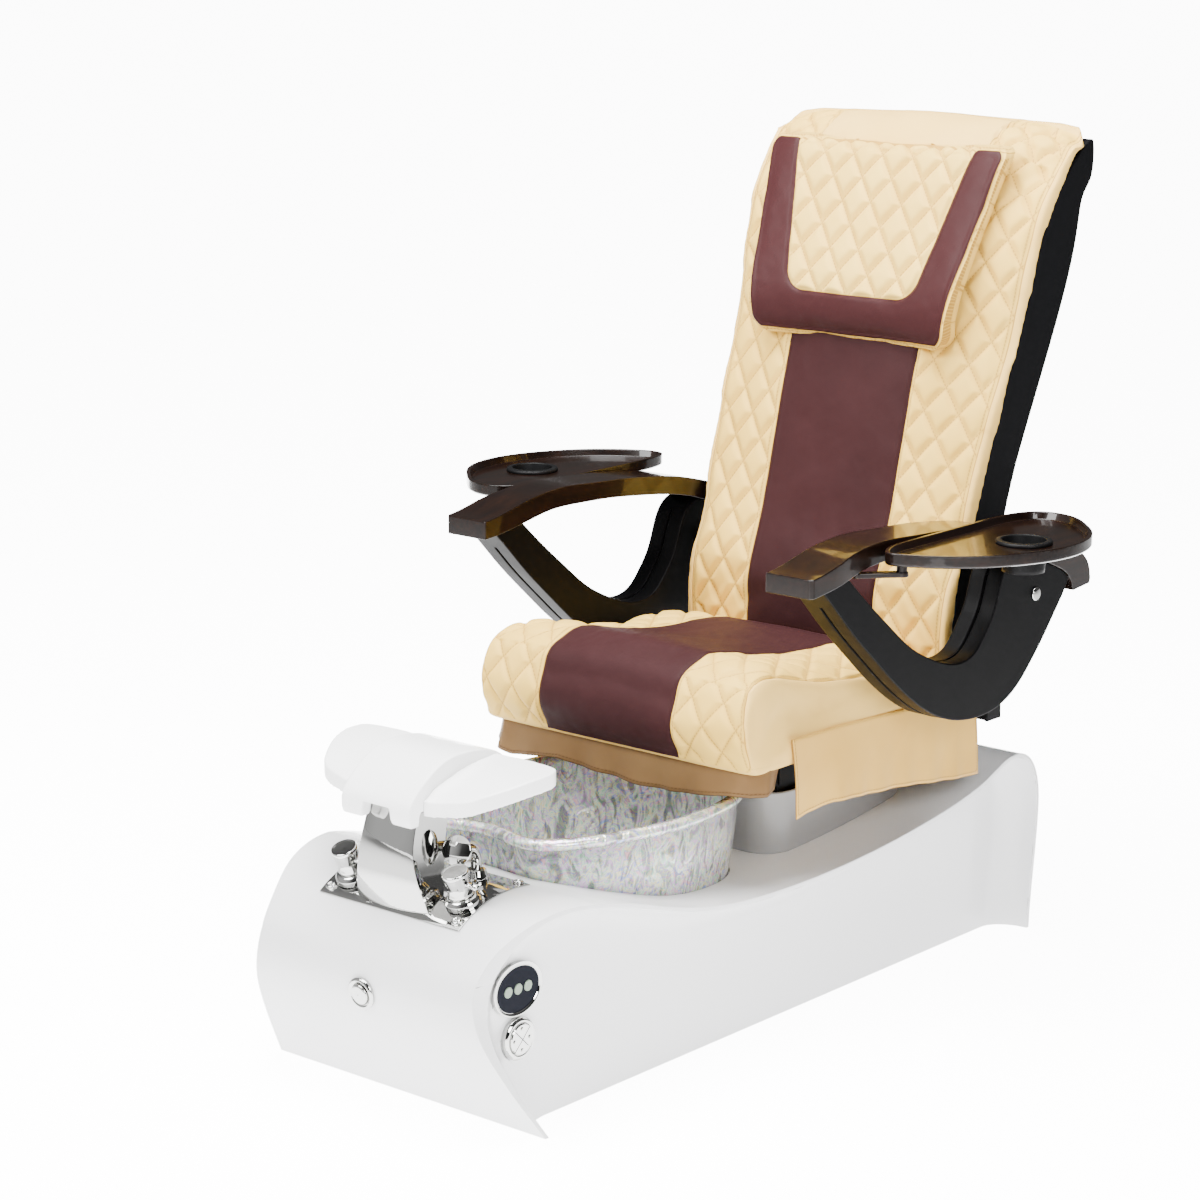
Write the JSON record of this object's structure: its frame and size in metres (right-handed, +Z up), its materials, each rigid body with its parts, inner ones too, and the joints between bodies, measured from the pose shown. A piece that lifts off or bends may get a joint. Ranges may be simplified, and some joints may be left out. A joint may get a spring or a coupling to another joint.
{
  "type": "pedicure spa chair",
  "caption": "Pedicure spa chair with a foot basin in a moulded base, sliding seat, reclining quilted back, lifting arms with swivel trays, taps and push buttons.",
  "frame": {"origin": "on the floor, under the middle of the base", "axes": "+Z up, the chair faces -Y, +X to the right of someone looking along +Y"},
  "size_m": [1.269, 1.5657, 1.4935],
  "materials": {
    "base_white": "gloss",
    "pan_steel": "satin",
    "basin_silver": "pearl gloss",
    "chrome": "mirror",
    "plumbing_brass": "satin",
    "plumbing_plastic": "matte",
    "hose_grey": "matte",
    "motor_grey": "matte",
    "footrest_white": "gloss",
    "track_steel": "brushed",
    "panel_slate": "gloss",
    "key_green": "satin",
    "box_white": "satin",
    "actuator_aluminium": "satin",
    "cushion_cream": "grained",
    "shell_black": "matte",
    "arm_black": "satin",
    "walnut_gloss": "high gloss",
    "cup_black": "matte",
    "massage_steel": "brushed",
    "roller_rubber": "matte"
  },
  "bodies": {
    "root": {"base_shell": "base_white", "floor_pan": "pan_steel", "basin": "basin_silver", "drain_flange": "chrome", "drain_pipe": "plumbing_plastic", "jet_cap": "chrome", "jet_motor": "motor_grey", "deck_plate": "chrome", "deck_screws": "chrome", "pedestal": "chrome", "footrest_track": "track_steel", "valve_bodies": "plumbing_brass", "supply_hoses": "hose_grey", "panel_bezel": "chrome", "panel_face": "panel_slate", "keypad_housing": "chrome", "front_button_bezel": "chrome", "control_box": "motor_grey", "seat_box": "box_white", "riser_frame": "pan_steel", "slide_actuator": "actuator_aluminium"},
    "footrest": {"footrest_saddle": "footrest_white", "footrest_pads": "footrest_white"},
    "mixer": {"mixer_knob": "chrome"},
    "diverter": {"diverter_knob": "chrome"},
    "spray": {"hand_spray": "chrome"},
    "plug": {"drain_plug": "chrome"},
    "impeller": {"jet_impeller": "plumbing_plastic"},
    "seat": {"seat_frame": "pan_steel", "slide_rod": "track_steel", "recline_actuator": "actuator_aluminium", "seat_cushion": "cushion_cream", "seat_apron": "cushion_cream", "seat_skirts": "cushion_cream", "arm_pins": "chrome"},
    "recline_push": {"recline_rod": "track_steel"},
    "back": {"back_frame": "pan_steel", "back_cushion": "cushion_cream", "back_shell": "shell_black", "pillow": "cushion_cream", "massage_rails": "pan_steel"},
    "massage": {"massage_carriage": "massage_steel"},
    "rollers": {"massage_rollers": "roller_rubber"},
    "arm_left": {"arm_frame_left": "arm_black", "arm_board_left": "walnut_gloss"},
    "arm_right": {"arm_frame_right": "arm_black", "arm_board_right": "walnut_gloss"},
    "tray_left": {"tray_left": "walnut_gloss", "cup_left": "cup_black"},
    "tray_right": {"tray_right": "walnut_gloss", "cup_right": "cup_black"},
    "front_push": {"front_button": "chrome"},
    "panel_push_1": {"panel_button_1": "key_green"},
    "panel_push_2": {"panel_button_2": "key_green"},
    "panel_push_3": {"panel_button_3": "key_green"},
    "key_push_1": {"keypad_button_1": "chrome"},
    "key_push_2": {"keypad_button_2": "chrome"},
    "key_push_3": {"keypad_button_3": "chrome"},
    "key_push_4": {"keypad_button_4": "chrome"}
  },
  "joints": [
    {"name": "seat_slide", "type": "slide", "parent": "root", "child": "seat", "axis": [0, 1, 0], "range_m": [-0.05, 0.08]},
    {"name": "recline", "type": "hinge", "parent": "seat", "child": "back", "pos_m": [0, 0.43, 0.5], "axis": [-1, 0, 0], "range_deg": [0, 35]},
    {"name": "recline_push", "type": "slide", "parent": "seat", "child": "recline_push", "axis": [0, -1, 0], "range_m": [0, 0.0575]},
    {"name": "massage_travel", "type": "slide", "parent": "back", "child": "massage", "axis": [0, 0.3322, 0.9432], "range_m": [0, 0.43]},
    {"name": "massage_roll", "type": "hinge", "parent": "massage", "child": "rollers", "pos_m": [0, 0.50041, 0.79326], "axis": [1, 0, 0], "continuous": true},
    {"name": "arm_flip_left", "type": "hinge", "parent": "seat", "child": "arm_left", "pos_m": [-0.36, 0.531, 0.687], "axis": [-1, 0, 0], "range_deg": [0, 58]},
    {"name": "arm_flip_right", "type": "hinge", "parent": "seat", "child": "arm_right", "pos_m": [0.36, 0.531, 0.687], "axis": [-1, 0, 0], "range_deg": [0, 58]},
    {"name": "tray_swivel_left", "type": "hinge", "parent": "arm_left", "child": "tray_left", "pos_m": [-0.385, 0.01, 0.82], "axis": [0, 0, 1], "range_deg": [0, 80]},
    {"name": "tray_swivel_right", "type": "hinge", "parent": "arm_right", "child": "tray_right", "pos_m": [0.385, 0.01, 0.82], "axis": [0, 0, -1], "range_deg": [0, 80]},
    {"name": "footrest_slide", "type": "slide", "parent": "root", "child": "footrest", "axis": [0, -1, 0], "range_m": [0, 0.06]},
    {"name": "mixer_turn", "type": "hinge", "parent": "root", "child": "mixer", "pos_m": [0.12, -0.66285, 0.35011], "axis": [0, -0.34, 0.9404], "range_deg": [-45, 45]},
    {"name": "diverter_turn", "type": "hinge", "parent": "root", "child": "diverter", "pos_m": [-0.114, -0.67297, 0.34615], "axis": [0, -0.3889, 0.9213], "range_deg": [0, 90]},
    {"name": "spray_lift", "type": "slide", "parent": "root", "child": "spray", "axis": [0, -0.0049, 1], "range_m": [0, 0.04]},
    {"name": "plug_lift", "type": "slide", "parent": "root", "child": "plug", "axis": [0, 0, 1], "range_m": [0, 0.01]},
    {"name": "impeller_spin", "type": "hinge", "parent": "root", "child": "impeller", "pos_m": [0, -0.33, 0.11], "axis": [0, 0, 1], "continuous": true},
    {"name": "panel_button_1_press", "type": "slide", "parent": "root", "child": "panel_push_1", "axis": [-1, 0, 0], "range_m": [0, 0.0015], "stiffness_N_per_m": 600},
    {"name": "panel_button_2_press", "type": "slide", "parent": "root", "child": "panel_push_2", "axis": [-1, 0, 0], "range_m": [0, 0.0015], "stiffness_N_per_m": 600},
    {"name": "panel_button_3_press", "type": "slide", "parent": "root", "child": "panel_push_3", "axis": [-1, 0, 0], "range_m": [0, 0.0015], "stiffness_N_per_m": 600},
    {"name": "keypad_button_1_press", "type": "slide", "parent": "root", "child": "key_push_1", "axis": [-1, 0, 0], "range_m": [0, 0.0015], "stiffness_N_per_m": 600},
    {"name": "keypad_button_2_press", "type": "slide", "parent": "root", "child": "key_push_2", "axis": [-1, 0, 0], "range_m": [0, 0.0015], "stiffness_N_per_m": 600},
    {"name": "keypad_button_3_press", "type": "slide", "parent": "root", "child": "key_push_3", "axis": [-1, 0, 0], "range_m": [0, 0.0015], "stiffness_N_per_m": 600},
    {"name": "keypad_button_4_press", "type": "slide", "parent": "root", "child": "key_push_4", "axis": [-1, 0, 0], "range_m": [0, 0.0015], "stiffness_N_per_m": 600},
    {"name": "front_button_press", "type": "slide", "parent": "root", "child": "front_push", "axis": [0, 0.9898, 0.1426], "range_m": [0, 0.0025], "stiffness_N_per_m": 800}
  ],
  "couplings": [
    {"joint": "recline_push", "follows": "recline", "m_per_rad": 0.09353}
  ]
}
